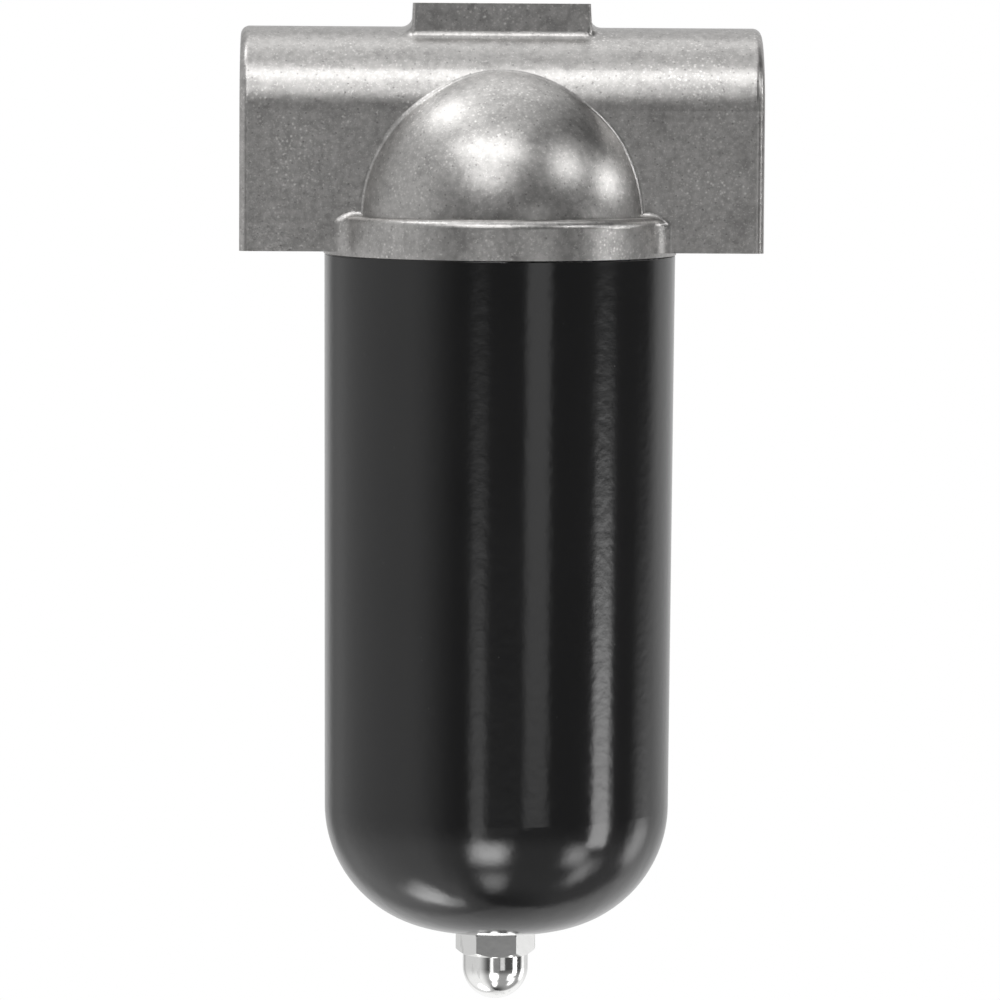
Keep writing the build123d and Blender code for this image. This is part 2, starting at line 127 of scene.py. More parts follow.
THREAD_ROOT = 0.05 * MM  # how far a tapped hole's ridge stands into the wall


# ------------------------------------------------------------------------------------------- shader maths


class Socket:
    """A shader output that takes Python's arithmetic, each operation adding its Math node."""

    def __init__(self, shader, socket):
        self.shader = shader
        self.socket = socket

    def maths(self, operation, *others):
        """Applies a Math node to this value and up to two others."""
        sockets = {0: self, **dict(enumerate(others, 1))}
        return self.shader.node("ShaderNodeMath", {"operation": operation}, sockets)

    def __add__(self, other):
        return self.maths("ADD", other)

    def __sub__(self, other):
        return self.maths("SUBTRACT", other)

    def __mul__(self, other):
        return self.maths("MULTIPLY", other)

    def __pow__(self, other):
        return self.maths("POWER", other)

    def __gt__(self, other):
        return self.maths("GREATER_THAN", other)

    def __lt__(self, other):
        return self.maths("LESS_THAN", other)

    def __neg__(self):
        return self.maths("MULTIPLY", -1)

    def __abs__(self):
        return self.maths("ABSOLUTE")

    def __rsub__(self, other):
        return -self + other

    __radd__ = __add__
    __rmul__ = __mul__


class Shader:
    """A node tree being built: a material's by default, or the world's."""

    def __init__(self, tree):
        self.tree = tree
        self.tree.nodes.clear()

    def node(self, kind, settings=None, inputs=None, output=0):
        """Adds one node, sets it up, feeds its sockets, and returns one of its outputs."""
        made = self.tree.nodes.new(kind)
        for name, value in (settings or {}).items():
            setattr(made, name, value)
        for name, value in (inputs or {}).items():
            if isinstance(value, Socket):
                self.tree.links.new(value.socket, made.inputs[name])
            else:
                made.inputs[name].default_value = value
        return Socket(self, made.outputs[output]) if made.outputs else None

    def ramp(self, value, *stops):
        """A grey ramp through (position, grey) stops."""
        made = self.tree.nodes.new("ShaderNodeValToRGB")
        elements = made.color_ramp.elements
        while len(elements) < len(stops):
            elements.new(1)
        for element, (position, grey) in zip(elements, stops):
            element.position = position
            element.color = (grey, grey, grey, 1)
        self.tree.links.new(value.socket, made.inputs[0])
        return Socket(self, made.outputs[0])

    def mix(self, factor, first, second):
        """Mixes two colours."""
        return self.node(
            "ShaderNodeMix",
            {"data_type": "RGBA"},
            {0: factor, 6: colour_of(first), 7: colour_of(second)},
            output=2,
        )

    def smooth(self, value, low, high):
        """Rises smoothly from 0 at low to 1 at high."""
        return self.node(
            "ShaderNodeMapRange",
            {"interpolation_type": "SMOOTHSTEP"},
            {"Value": value, "From Min": low, "From Max": high, "To Min": 0, "To Max": 1},
        )

    def noise(self, scale, detail=2, roughness=0.5, stretch=(1, 1, 1)):
        """Noise on object coordinates, with about scale features in a metre."""
        return self.node(
            "ShaderNodeTexNoise",
            {},
            {"Vector": self.place(stretch), "Scale": scale, "Detail": detail, "Roughness": roughness},
        )

    def cells(self, scale):
        """Distance to the nearest of points scattered with about scale to a metre."""
        return self.node("ShaderNodeTexVoronoi", {}, {"Vector": self.place(), "Scale": scale})

    def place(self, stretch=(1, 1, 1)):
        """Object coordinates, stretched along each axis."""
        coordinates = self.node("ShaderNodeTexCoord", output="Object")
        if stretch == (1, 1, 1):
            return coordinates
        return self.node("ShaderNodeMapping", {}, {"Vector": coordinates, "Scale": stretch})

    def axes(self, vector):
        """A vector's three components."""
        split = self.node("ShaderNodeSeparateXYZ", {}, {0: vector})
        outputs = split.socket.node.outputs
        return [Socket(self, outputs[i]) for i in range(3)]

    def bump(self, height, strength, distance):
        """A Bump node for Normal."""
        return self.node("ShaderNodeBump", {}, {"Height": height, "Strength": strength, "Distance": distance})


def colour_of(value):
    """A socket as it is, or three numbers as an opaque colour."""
    return value if isinstance(value, Socket) else (*value, 1)


def material(name, build, **constants):
    """Makes a material. build(shader) returns its varying sockets; constants are set on the shader itself."""
    made = bpy.data.materials.new(name)
    made.use_nodes = True
    shader = Shader(made.node_tree)
    surface = shader.node("ShaderNodeBsdfPrincipled", {}, {**constants, **build(shader)})
    shader.node("ShaderNodeOutputMaterial", {}, {"Surface": surface})
    return made


# ------------------------------------------------------------------------------------------- finishes


def shade(colour, factor):
    """A colour made lighter or darker."""
    return tuple(Vector(colour) * factor)


def cast_aluminium(finish):
    """Bare die casting: stained and pitted skin with bright specks and painted shade in its pits, lighter
    where it was machined.
    """

    def build(shader):
        x, y, z = shader.axes(shader.place())
        _, _, facing_z = shader.axes(shader.node("ShaderNodeTexCoord", output="Normal"))
        clouds = shader.noise(55, detail=4, roughness=0.6)
        stains = shader.noise(190, detail=5, roughness=0.65)
        mottle = shader.noise(650, detail=4, roughness=0.6)
        grain = shader.noise(1900, detail=3, roughness=0.6)
        specks = shader.ramp(shader.cells(950), (0.0, 1.0), (0.36, 0.0))
        patches = shader.smooth(clouds, 0.46, 0.62)

        level_faces = 0
        for face_z in (BLOCK_BOTTOM, COLLAR_BOTTOM, SEAT_BOTTOM, HEAD_HIGH.z):
            level_faces = level_faces + (abs(z - face_z) < FACE_REACH)
        machined = level_faces * (abs(facing_z) > 0.9) + (abs(x) > HALF_LENGTH - FACE_REACH)
        machined = machined.maths("MINIMUM", 1)
        port_distance = ((z - PORT_Z) ** 2 + y ** 2) ** 0.5
        turning = (port_distance * (2 * math.pi / finish.tool_pitch)).maths("SINE") * machined

        light = shade(finish.casting, 1.65)
        pits = shader.ramp(shader.cells(620), (0.0, 1.0), (0.2, 0.0))
        skin = shader.mix(shader.smooth(mottle, 0.3, 0.7), shade(finish.casting, 0.78), tuple(finish.casting))
        skin = shader.mix(shader.smooth(stains, 0.5, 0.68) * 0.5, skin, shade(finish.casting, 0.55))
        skin = shader.mix(shader.smooth(grain, 0.56, 0.7) * 0.45 + specks * patches * 0.9, skin, light)
        # Painted shade: the pits are darkened towards 0.3 of the casting's colour, standing in for the shade
        # inside them.
        skin = shader.mix(pits * 0.7, skin, shade(finish.casting, 0.3))
        skin = shader.mix(machined, skin, shade(finish.casting, 1.3))
        height = stains * 0.5 + mottle * 0.5 + grain * 0.45
        height = height + specks * patches * 0.3 - pits * 0.6 + turning * 0.1
        return {
            "Base Color": skin,
            "Roughness": 0.24 + mottle * 0.1 + clouds * 0.08 - machined * 0.05,
            "Normal": shader.bump(height, 0.6, 0.06 * MM),
        }

    return material("cast_aluminium", build, Metallic=1.0)


def bowl_paint(finish):
    """Semi-gloss paint with orange peel outside, thin grey primer inside, and a few specks of dust."""

    def build(shader):
        position = shader.place()
        normal = shader.node("ShaderNodeTexCoord", output="Normal")
        middle = (0, 0, (BOWL_TOP + BOWL_BOTTOM) / 2)
        outwards = shader.node("ShaderNodeVectorMath", {"operation": "SUBTRACT"}, {0: position, 1: middle})
        facing = shader.node(
            "ShaderNodeVectorMath", {"operation": "DOT_PRODUCT"}, {0: normal, 1: outwards}, output="Value"
        )
        outside = facing > 0
        peel = shader.noise(420, detail=2, roughness=0.4)
        fine_peel = shader.noise(1400, detail=2)
        clouds = shader.noise(35, detail=3)
        dust = shader.ramp(shader.cells(230), (0.0, 1.0), (0.035, 0.0))
        coat = shader.mix(clouds, shade(finish.paint, 0.85), shade(finish.paint, 1.2))
        coat = shader.mix(dust * 0.25, coat, (0.25, 0.25, 0.24))
        primer = shader.mix(shader.smooth(peel, 0.35, 0.65), shade(finish.primer, 0.8), tuple(finish.primer))
        return {
            "Base Color": shader.mix(outside, primer, coat),
            "Roughness": 0.11 + clouds * 0.05 + (1 - outside) * 0.4 + dust * 0.2,
            "Normal": shader.bump(peel + fine_peel * 0.15 + dust * 0.3, 0.6, 0.045 * MM),
        }

    return material("bowl_paint", build)


def bright_plating(finish):
    """Nickel plate over a turned and pressed nut: nearly a mirror, with faint waves and handling marks."""

    def build(shader):
        waves = shader.noise(260, detail=2)
        marks = shader.smooth(shader.noise(700, detail=3, stretch=(1, 1, 0.3)), 0.62, 0.7)
        haze = shader.noise(900, detail=3)
        return {
            "Base Color": shader.mix(marks * 0.5, tuple(finish.plating), shade(finish.plating, 0.7)),
            "Roughness": 0.07 + haze * 0.07 + marks * 0.15,
            "Normal": shader.bump(waves + marks * 0.2, 0.35, 0.05 * MM),
        }

    return material("bright_plating", build, Metallic=1.0)


def bare_metal(name, colour, roughness, scale=700, stretch=(1, 1, 1), depth=0.01 * MM):
    """Plated or drawn metal with a directional or even grain, slight staining and fine scratches."""

    def build(shader):
        grain = shader.noise(scale, detail=4, roughness=0.6, stretch=stretch)
        stains = shader.noise(90, detail=3)
        scratches = shader.smooth(shader.noise(500, detail=2, stretch=(1, 0.15, 1)), 0.64, 0.7)
        metal = shader.mix(grain, shade(colour, 0.8), colour)
        metal = shader.mix(shader.smooth(stains, 0.5, 0.75) * 0.4, metal, shade(colour, 0.6))
        return {
            "Base Color": metal,
            "Roughness": roughness + grain * 0.15 + stains * 0.08 - scratches * 0.1,
            "Normal": shader.bump(grain + scratches * 0.4, 0.5, depth),
        }

    return material(name, build, Metallic=1.0)


def moulded(name, colour, roughness, scale, depth):
    """Moulded rubber or plastic with a fine texture and dusty patches."""

    def build(shader):
        texture = shader.noise(scale, detail=3, roughness=0.6)
        dusting = shader.smooth(shader.noise(110, detail=4), 0.45, 0.75)
        surface = shader.mix(texture, shade(colour, 0.75), shade(colour, 1.2))
        return {
            "Base Color": shader.mix(dusting * 0.25, surface, (0.25, 0.25, 0.25)),
            "Roughness": roughness + texture * 0.15 + dusting * 0.1,
            "Normal": shader.bump(texture, 0.5, depth),
        }

    return material(name, build)


def filter_paper(finish):
    """Resin-treated paper: matted fibres, cloudy resin, and painted shade that darkens it towards the inner
    folds.
    """

    def build(shader):
        x, y, _ = shader.axes(shader.place())
        fibres = shader.noise(1100, detail=5, roughness=0.75, stretch=(1, 1, 0.35))
        clouds = shader.noise(160, detail=3)
        distance = (x ** 2 + y ** 2) ** 0.5
        # Painted shade: more than 8 mm inside the pleats' outer edge the paper is darkened to 0.45 of its
        # colour, standing in for the shade between the folds.
        fold_shade_fade = shader.smooth(distance, PAPER_R - 8 * MM, PAPER_R)
        paper = shader.mix(fibres, shade(finish.paper, 0.7), shade(finish.paper, 1.1))
        paper = shader.mix(clouds * 0.3, paper, shade(finish.paper, 0.8))
        return {
            "Base Color": shader.mix(fold_shade_fade, shade(finish.paper, 0.45), paper),
            "Roughness": 0.8 + fibres * 0.15,
            "Normal": shader.bump(fibres, 0.6, 0.08 * MM),
        }

    return material("filter_paper", build)


def cork_gasket():
    """Cork and rubber sheet: dark granules in a brown binder."""

    def build(shader):
        granules = shader.ramp(shader.cells(900), (0.15, 0.0), (0.5, 1.0))
        tint = shader.noise(500, detail=3)
        sheet = shader.mix(granules, (0.07, 0.05, 0.035), (0.24, 0.16, 0.09))
        return {
            "Base Color": shader.mix(tint * 0.5, sheet, (0.14, 0.1, 0.07)),
            "Roughness": 0.7 + granules * 0.2,
            "Normal": shader.bump(granules, 0.5, 0.06 * MM),
        }

    return material("cork_gasket", build)


def floor_paint():
    """Pale matt floor with a faint grain."""

    def build(shader):
        grain = shader.noise(220, detail=3)
        return {
            "Base Color": shader.mix(grain, (0.82, 0.82, 0.82), (0.88, 0.88, 0.88)),
            "Normal": shader.bump(grain, 0.3, 0.1 * MM),
        }

    return material("pale_floor", build, Roughness=0.9)


# ------------------------------------------------------------------------------------------- making pieces


def dress(surface, *nodes):
    """Gives CAD nodes a material."""
    for node in nodes:
        slots = NODES[node].data.materials
        slots.clear()
        slots.append(surface)


def piece_from(bm, name, surface, body, smooth_below=40):
    """Turns a bmesh into a piece that rides on a body. Edges sharper than smooth_below degrees stay sharp."""
    for face in bm.faces:
        face.smooth = True
    for edge in bm.edges:
        edge.smooth = edge.is_manifold and edge.calc_face_angle(0) < math.radians(smooth_below)
    mesh = bpy.data.meshes.new(name)
    bm.to_mesh(mesh)
    bm.free()
    mesh.materials.append(surface)
    piece = bpy.data.objects.new(name, mesh)
    bpy.context.scene.collection.objects.link(piece)
    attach(piece, body)
    return piece


def merged(bm):
    """Merges a bmesh's doubled points and turns its faces outwards."""
    bmesh.ops.remove_doubles(bm, verts=bm.verts, dist=MERGE)
    bmesh.ops.recalc_face_normals(bm, faces=bm.faces)


def cut_off(bm, height, direction):
    """Cuts a bmesh level, drops what lies beyond the cut in a direction of 1 or -1, and closes it."""
    everything = bm.verts[:] + bm.edges[:] + bm.faces[:]
    cut = bmesh.ops.bisect_plane(
        bm,
        geom=everything,
        plane_co=(0, 0, height),
        plane_no=(0, 0, direction),
        clear_outer=True,
        dist=MERGE / 4,
    )
    rim = [part for part in cut["geom_cut"] if isinstance(part, bmesh.types.BMEdge)]
    bmesh.ops.edgeloop_fill(bm, edges=rim)


def append(bm, other, place=Matrix.Identity(4)):
    """Adds another bmesh to bm at a place, and frees it."""
    copy = bpy.data.meshes.new("copy")
    other.to_mesh(copy)
    other.free()
    copy.transform(place)
    bm.from_mesh(copy)
    bpy.data.meshes.remove(copy)


def sweep(bm, outline, closed, pitch, turns, steps):
    """Sweeps an outline of (radius, height) points round the Z axis as a helix."""
    points = [bm.verts.new((r, 0, height)) for r, height in outline]
    pairs = list(zip(points, points[1:])) + ([(points[-1], points[0])] if closed else [])
    edges = [bm.edges.new(pair) for pair in pairs]
    return bmesh.ops.spin(
        bm, geom=points + edges, cent=(0, 0, 0), axis=(0, 0, 1), dvec=(0, 0, pitch / steps),
        angle=2 * math.pi * turns, steps=steps * turns,
    )


def male_thread(bm, low, high, major, pitch, steps):
    """Adds a closed length of screw about the Z axis, chamfered at both ends."""
    minor = major - THREAD_HEIGHT * pitch
    screw = bmesh.new()
    start = low - pitch
    shares = ((0, minor), (5 / 16, major), (7 / 16, major), (3 / 4, minor), (1, minor))
    outline = [(r, start + share * pitch) for share, r in shares]
    sweep(screw, outline, False, pitch, math.ceil((high - low) / pitch) + 2, steps)
    merged(screw)
    cut_off(screw, low, -1)
    cut_off(screw, high, 1)
    merged(screw)
    for vertex in screw.verts:
        from_end = min(vertex.co.z - low, high - vertex.co.z)
        limit = major - max(0, ROD_CHAMFER - from_end)
        stretch = min(1, limit / max(vertex.co.xy.length, MERGE))
        vertex.co.xy = vertex.co.xy * stretch
    append(bm, screw)


def female_thread(bm, floor, axis, major, length, pitch, steps):
    """Adds the ridge of a tapped hole, from its floor's middle to its mouth, where a countersink thins it."""
    minor = major - THREAD_HEIGHT * pitch
    root = major + THREAD_ROOT
    ridge = bmesh.new()
    shares = ((0.02, root), (0.4, minor), (0.6, minor), (0.98, root))
    outline = [(r, (share - 1) * pitch) for share, r in shares]
    sweep(ridge, outline, True, pitch, math.ceil(length / pitch) + 1, steps)
    merged(ridge)
    cut_off(ridge, 0, -1)
    cut_off(ridge, length, 1)
    for vertex in ridge.verts:
        limit = root - max(0, length - vertex.co.z)
        stretch = max(1, limit / vertex.co.xy.length)
        vertex.co.xy = vertex.co.xy * stretch
    merged(ridge)
    turn = Vector((0, 0, 1)).rotation_difference(Vector(axis)).to_matrix().to_4x4()
    append(bm, ridge, Matrix.Translation(floor) @ turn)


def hole_cell(bm, hole_r, column_pitch, row_pitch):
    """Adds a six-sided cell of sheet with a round hole in it, upright in the XZ plane."""
    upright = Matrix.Rotation(math.radians(90), 4, "X")
    corner_r = column_pitch / math.sqrt(3)
    rim = bmesh.ops.create_circle(bm, segments=12, radius=corner_r, matrix=upright)["verts"]
    for middle in rim[1::2]:
        middle.co *= math.cos(math.radians(30))
    bmesh.ops.scale(bm, verts=rim, vec=(1, 1, row_pitch / (1.5 * corner_r)))
    bmesh.ops.create_circle(bm, segments=12, radius=hole_r, matrix=upright)
    bmesh.ops.bridge_loops(bm, edges=bm.edges[:])


def copies(bm, count, step):
    """Repeats all that a bmesh holds, so that there are count of it, each a step from the one before."""
    original = bm.verts[:] + bm.edges[:] + bm.faces[:]
    for i in range(1, count):
        made = bmesh.ops.duplicate(bm, geom=original)["geom"]
        points = [part for part in made if isinstance(part, bmesh.types.BMVert)]
        bmesh.ops.translate(bm, verts=points, vec=Vector(step) * i)


def coil(bm, low, coil_r, wire_r, stages, steps=32):
    """Adds a coil of wire round the Z axis that climbs from low through stages of (pitch, turns)."""
    place = Matrix.Translation((coil_r, 0, low)) @ Matrix.Rotation(math.radians(90), 4, "X")
    bmesh.ops.create_circle(bm, cap_ends=True, segments=12, radius=wire_r, matrix=place)
    end = bm.verts[:] + bm.edges[:] + bm.faces[:]
    for pitch, turns in stages:
        end = bmesh.ops.spin(
            bm, geom=end, cent=(0, 0, 0), axis=(0, 0, 1), dvec=(0, 0, pitch / steps),
            angle=2 * math.pi * turns, steps=steps * turns,
        )["geom_last"]
    merged(bm)


# ------------------------------------------------------------------------------------------- settings


def colour_setting(name, description, default):
    """A colour that a user may change."""
    return bpy.props.FloatVectorProperty(
        name=name, description=description, subtype="COLOR", size=3, min=0, max=1, default=default
    )


def length_setting(name, description, default, smallest=0.1 * MM):
    """A length that a user may change."""
    return bpy.props.FloatProperty(
        name=name, description=description, unit="LENGTH", min=smallest, default=default, precision=5
    )


class AirFilterFinish(bpy.types.PropertyGroup):
    """Colours and tool marks of the filter's finishes."""

    casting: colour_setting("Casting", "Colour of the bare aluminium casting", (0.5, 0.49, 0.48))
    paint: colour_setting("Bowl paint", "Colour of the paint outside the bowl", (0.007, 0.007, 0.0072))
    primer: colour_setting("Primer", "Colour of the primer inside the bowl", (0.22, 0.22, 0.21))
    plating: colour_setting("Plating", "Colour of the cap nut's plating", (0.86, 0.86, 0.85))
    zinc: colour_setting("Zinc", "Colour of the zinc-plated steel parts", (0.6, 0.61, 0.63))
    paper: colour_setting("Filter paper", "Colour of the pleated paper", (0.72, 0.6, 0.36))
    tool_pitch: length_setting("Tool mark pitch", "Distance between the turning marks", 0.35 * MM)


class AirFilterSizes(bpy.types.PropertyGroup):
    """Sizes of the threads, the sleeve's holes and the spring."""

    port_pitch: length_setting("Port pitch", "Pitch of the pipe thread in both ports", INCH / 14)
    pad_pitch: length_setting("Pad pitch", "Pitch of the threads in the mounting pad", INCH / 20)
    rod_pitch: length_setting("Rod pitch", "Pitch of the tie rod's threads", INCH / 16)
    rod_top_thread: length_setting("Upper thread", "Length of the tie rod's thread in the head", 17.5 * MM)
    rod_low_thread: length_setting("Lower thread", "Length of the tie rod's thread in the bowl", 28 * MM)
    sleeve_hole: length_setting("Sleeve hole radius", "Radius of the holes in the outer sleeve", 1.45 * MM)
    sleeve_sheet: length_setting("Sleeve sheet", "Thickness of the outer sleeve", 0.7 * MM)
    sleeve_columns: bpy.props.IntProperty(
        name="Sleeve columns", description="Number of holes round the outer sleeve", min=12, default=36
    )
    sleeve_rows: bpy.props.IntProperty(
        name="Sleeve rows", description="Number of rows of holes in the outer sleeve", min=4, default=24
    )
    wire: length_setting("Spring wire", "Thickness of the spring's wire", 1.8 * MM)
    spring_turns: bpy.props.IntProperty(
        name="Spring turns", description="Number of free turns between the closed ends", min=2, default=5
    )


class AirFilterStage(bpy.types.PropertyGroup):
    """Camera, light and floor."""

    distance: length_setting("Camera distance", "Distance from the camera to the filter's axis", 1.35)
    azimuth: bpy.props.FloatProperty(
        name="Camera azimuth", description="How far the camera stands to the right of straight in front",
        subtype="ANGLE", default=math.radians(-1.4),
    )
    elevation: bpy.props.FloatProperty(
        name="Camera elevation", description="How far the camera stands above the horizon",
        subtype="ANGLE", default=math.radians(4.9),
    )
    roll: bpy.props.FloatProperty(
        name="Camera roll", description="Turn of the camera about its own line of sight",
        subtype="ANGLE", default=math.radians(0.37),
    )
    view_height: length_setting("View height", "Height of the view at the filter's distance", 229.2 * MM)
    floor_gap: length_setting("Floor gap", "Room under the filter, enough for its bowl to come off", 0.2)


# Lights of the studio, which stand all round: name, level, (middle, half width) across, (middle, half height)
# upwards, and softness of the edges. Degrees; across, 0 is towards the camera and 90 is to the right.
LIGHTS = (
    ("dark front", 0.07, (25, 85), (0, 90), 15),
    ("left wall", 0.68, (-95, 50), (0, 90), 20),
    ("back wall", 0.75, (165, 45), (0, 90), 10),
    ("below", 0.3, (180, 180), (-46, 26), 12),
    ("ceiling", 0.78, (180, 180), (82, 20), 10),
    ("front top band", 4.0, (-12, 32), (49, 8), 5),
    ("overhead left", 4.0, (-92, 15), (62, 9), 4),
    ("small left", 3.4, (-11, 15), (28, 6), 3),
    ("small right", 4.5, (55, 9), (33, 8), 3),
    ("low right", 5.0, (87, 8), (17, 7), 3),
    ("under front", 0.22, (0, 14), (-11.5, 3.5), 2),
    ("faint strip", 1.2, (-14, 5), (-16, 10.5), 2.5),
    ("tall strip", 1.0, (24.5, 8), (-3, 7), 2),
    ("bright strip", 6.0, (73, 7), (-16, 9.6), 2),
    ("below left", 5.0, (-100, 18), (-64, 9), 8),
    ("below front", 3.0, (-4, 12), (-61, 9), 8),
    ("below right", 3.0, (77, 8), (-45, 9), 8),
    ("low behind right", 2.5, (113, 8), (-20, 10), 7),
    ("below left front", 8.0, (-6, 12), (-33, 9), 8),
    ("below right front", 4.5, (60, 8), (-33, 7), 7),
)
AIM_X, AIM_Z = 0.4 * MM, 0.9 * MM  # from the middle of the filter
FLOOR_R = 0.9


# ------------------------------------------------------------------------------------------- operators


class AIRFILTER_OT_casting(bpy.types.Operator):
    """Finishes the head casting and cuts the threads of its ports and its mounting pad"""

    bl_idname = "airfilter.casting"
    bl_label = "Head Casting"

    def execute(self, context):
        sizes = context.scene.air_filter_sizes
        surface = cast_aluminium(context.scene.air_filter_finish)
        dress(surface, "filter_head")
        for side, name in ((-1, "inlet_thread"), (1, "outlet_thread")):
            bm = bmesh.new()
            floor = (side * (HALF_LENGTH - PORT_DEPTH), 0, PORT_Z)
            female_thread(bm, floor, (side, 0, 0), PORT_R, PORT_DEPTH - THREAD_GAP, sizes.port_pitch, 48)
            piece_from(bm, name, surface, "head", smooth_below=25)
        bm = bmesh.new()
        for side in (-1, 1):
            floor = (side * PAD_HOLE_SPACING / 2, 0, HEAD_HIGH.z - PAD_HOLE_DEPTH)
            female_thread(bm, floor, (0, 0, 1), PAD_HOLE_R, PAD_HOLE_DEPTH - THREAD_GAP, sizes.pad_pitch, 32)
        piece_from(bm, "pad_threads", surface, "head", smooth_below=25)
        return {"FINISHED"}


class AIRFILTER_OT_tie_rod(bpy.types.Operator):
    """Makes the tie rod with threads at both ends"""

    bl_idname = "airfilter.tie_rod"
    bl_label = "Tie Rod"

    def execute(self, context):
        sizes = context.scene.air_filter_sizes
        low, high = bottom("tie_rod"), top("tie_rod")
        shank_low, shank_high = low + sizes.rod_low_thread, high - sizes.rod_top_thread
        bm = bmesh.new()
        male_thread(bm, low, shank_low, ROD_R, sizes.rod_pitch, 40)
        male_thread(bm, shank_high, high, ROD_R, sizes.rod_pitch, 40)
        shank = bmesh.new()
        bmesh.ops.create_cone(
            shank, cap_ends=True, segments=64, radius1=ROD_R, radius2=ROD_R, depth=shank_high - shank_low
        )
        bmesh.ops.translate(shank, verts=shank.verts, vec=(0, 0, (shank_low + shank_high) / 2))
        rims = [edge for edge in shank.edges if len(set(v.co.z for v in edge.verts)) == 1]
        bmesh.ops.bevel(
            shank, geom=rims, offset=ROD_CHAMFER, affect="EDGES", segments=1, profile=0.5, material=-1
        )
        append(bm, shank)
        finish = context.scene.air_filter_finish
        steel = bare_metal("zinc_plated_rod", tuple(finish.zinc), 0.26, scale=900, stretch=(1, 1, 0.2))
        rod = piece_from(bm, "threaded_tie_rod", steel, "head", smooth_below=30)
        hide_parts("tie_rod")
        return {"FINISHED"}


class AIRFILTER_OT_bowl(bpy.types.Operator):
    """Finishes the bowl, its welded plate, its O-ring, its washer and its cap nut"""

    bl_idname = "airfilter.bowl"
    bl_label = "Bowl and Cap Nut"

    def execute(self, context):
        finish = context.scene.air_filter_finish
        dress(bowl_paint(finish), "bowl")
        dress(bare_metal("primed_steel", (0.26, 0.26, 0.25), 0.45, scale=500), "bowl_reinforcing_plate")
        dress(bare_metal("soft_copper", (0.72, 0.38, 0.22), 0.3), "sealing_washer")
        dress(bright_plating(finish), "cap_nut")
        rubber = moulded("black_rubber", (0.016, 0.016, 0.017), 0.45, 900, 0.02 * MM)
        dress(rubber, "bowl_o_ring", "rod_grommet")
        return {"FINISHED"}


class AIRFILTER_OT_cartridge(bpy.types.Operator):
    """Makes the cartridge's perforated sleeve and finishes its paper, core, caps and gaskets"""

    bl_idname = "airfilter.cartridge"
    bl_label = "Cartridge"

    def execute(self, context):
        finish = context.scene.air_filter_finish
        dress(filter_paper(finish), "element_media")
        dress(cork_gasket(), "element_top_gasket", "element_bottom_gasket")
        tinned = bare_metal("tinned_sheet", (0.62, 0.61, 0.59), 0.3, scale=500)
        dress(tinned, "element_top_cap", "element_bottom_cap")
        dress(bare_metal("perforated_core", (0.55, 0.56, 0.57), 0.35), "element_core")
        self.make_sleeve(context.scene.air_filter_sizes, finish)
        return {"FINISHED"}

    def make_sleeve(self, sizes, finish):
        """Rolls a sheet of staggered holes into the sleeve round the paper."""
        low, high = bottom("element_sleeve"), top("element_sleeve")
        column_pitch = 2 * math.pi * SLEEVE_R / sizes.sleeve_columns
        row_pitch = (high - low) / sizes.sleeve_rows
        bm = bmesh.new()
        hole_cell(bm, sizes.sleeve_hole, column_pitch, row_pitch)
        copies(bm, sizes.sleeve_columns, (column_pitch, 0, 0))
        bmesh.ops.translate(bm, verts=bm.verts, vec=(0, 0, low - row_pitch / 2))
        copies(bm, sizes.sleeve_rows + 2, (column_pitch / 2, 0, row_pitch))
        bmesh.ops.remove_doubles(bm, verts=bm.verts, dist=MERGE)
        for height, direction in ((low, -1), (high, 1)):
            everything = bm.verts[:] + bm.edges[:] + bm.faces[:]
            bmesh.ops.bisect_plane(
                bm, geom=everything, plane_co=(0, 0, height), plane_no=(0, 0, direction), clear_outer=True
            )
        for vertex in bm.verts:
            turn = vertex.co.x / SLEEVE_R
            vertex.co = (SLEEVE_R * math.cos(turn), SLEEVE_R * math.sin(turn), vertex.co.z)
        merged(bm)
        bmesh.ops.solidify(bm, geom=bm.faces[:], thickness=sizes.sleeve_sheet)
        bmesh.ops.recalc_face_normals(bm, faces=bm.faces)
        steel = bare_metal("perforated_sleeve_zinc", tuple(finish.zinc), 0.3)
        sleeve = piece_from(bm, "perforated_sleeve", steel, "element")
        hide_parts("element_sleeve")


class AIRFILTER_OT_spring(bpy.types.Operator):
    """Coils the spring with closed and ground ends"""

    bl_idname = "airfilter.spring"
    bl_label = "Spring"

    def execute(self, context):
        sizes = context.scene.air_filter_sizes
        low, high = top("spring_seat") - SEAT_HUB, bottom("spring_follower") + FOLLOWER_HUB
        free_pitch = (high - low - 2 * sizes.wire) / sizes.spring_turns
        bm = bmesh.new()
        stages = ((sizes.wire, 1), (free_pitch, sizes.spring_turns), (sizes.wire, 1))
        coil(bm, low, SPRING_R - sizes.wire / 2, sizes.wire / 2, stages)
        cut_off(bm, low, -1)
        cut_off(bm, high, 1)
        wire = bare_metal("drawn_wire", (0.5, 0.5, 0.51), 0.22, scale=1200)
        spring = piece_from(bm, "ground_end_spring", wire, "spring_pack")
        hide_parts("element_spring")
        joints = frame["record"]["behaviour"]["joints"]
        travel = next(joint for joint in joints if joint["name"] == "element_float")["range_m"][1]
        keep = (high - low - travel) / (high - low)
        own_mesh(spring)
        return {"FINISHED"}


class AIRFILTER_OT_inner_parts(bpy.types.Operator):
    """Finishes the swirl deflector and the pressed parts under the cartridge"""

    bl_idname = "airfilter.inner_parts"
    bl_label = "Inner Parts"

    def execute(self, context):
        dress(moulded("deflector_nylon", (0.045, 0.046, 0.05), 0.5, 700, 0.02 * MM), "swirl_deflector")
        dress(bare_metal("pressed_steel", (0.42, 0.42, 0.43), 0.35, scale=500), "quiet_zone_plate")
        dress(bare_metal("turned_steel", (0.4, 0.4, 0.41), 0.3, scale=900), "spring_follower", "spring_seat")
        return {"FINISHED"}


